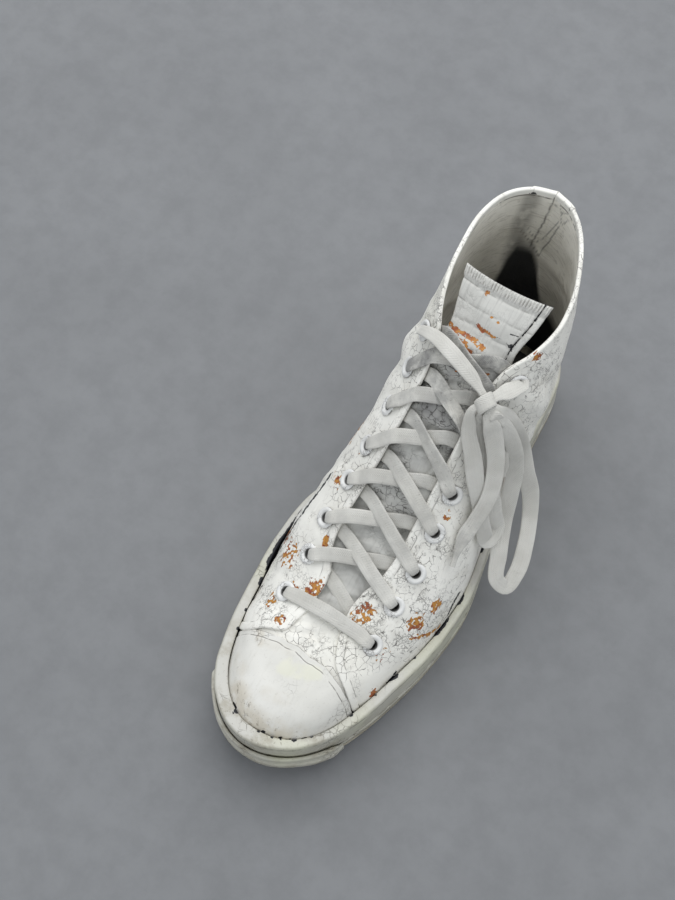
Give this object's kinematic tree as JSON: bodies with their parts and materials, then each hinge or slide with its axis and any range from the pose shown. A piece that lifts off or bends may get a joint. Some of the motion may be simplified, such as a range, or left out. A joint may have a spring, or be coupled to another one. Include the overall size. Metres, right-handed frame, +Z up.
{
  "type": "high-top sneaker",
  "caption": "Worn high-top lace-up sneaker for the left foot, with a rubber toe cap, thick foxing band, painted and cracked upper and a tied bow.",
  "frame": {"origin": "on the flat underside of the sole, at half the length of the foxing and on the foot's middle line", "axes": "-Y to the toe, +Y to the heel, +X to the outer side of this left shoe, +Z up"},
  "size_m": [0.1217, 0.2971, 0.1591],
  "materials": {
    "sole_rubber": "matt aged rubber",
    "band_rubber": "cream rubber with grey dirt and chipped paint",
    "cap_rubber": "painted rubber with fine cracks",
    "painted_leather": "cracked off-white paint, chipped to orange in places",
    "tongue_leather": "creased, grey with dirt",
    "footbed_cloth": "dark worn cloth",
    "painted_metal": "painted over, worn",
    "lace_cotton": "flat woven cotton, soiled"
  },
  "bodies": {
    "root": {"outsole": "sole_rubber", "foxing": "band_rubber", "toe_bumper": "band_rubber", "insole": "footbed_cloth", "upper": "painted_leather", "toe_cap": "cap_rubber", "tongue": "tongue_leather", "eyelet_lateral_1": "painted_metal", "eyelet_lateral_2": "painted_metal", "eyelet_lateral_3": "painted_metal", "eyelet_lateral_4": "painted_metal", "eyelet_lateral_5": "painted_metal", "eyelet_lateral_6": "painted_metal", "eyelet_lateral_7": "painted_metal", "eyelet_lateral_8": "painted_metal", "eyelet_medial_1": "painted_metal", "eyelet_medial_2": "painted_metal", "eyelet_medial_3": "painted_metal", "eyelet_medial_4": "painted_metal", "eyelet_medial_5": "painted_metal", "eyelet_medial_6": "painted_metal", "eyelet_medial_7": "painted_metal", "eyelet_medial_8": "painted_metal", "lace_bar": "lace_cotton", "lace_run_1": "lace_cotton", "lace_cross_2": "lace_cotton", "lace_cross_3": "lace_cotton", "lace_cross_4": "lace_cotton", "lace_cross_5": "lace_cotton", "lace_cross_6": "lace_cotton", "lace_cross_7": "lace_cotton", "lace_knot": "lace_cotton", "lace_lead_medial": "lace_cotton", "lace_lead_lateral": "lace_cotton", "lace_loop_large": "lace_cotton", "lace_loop_small": "lace_cotton", "lace_end_long": "lace_cotton", "lace_end_short": "lace_cotton"}
  },
  "joints": []
}
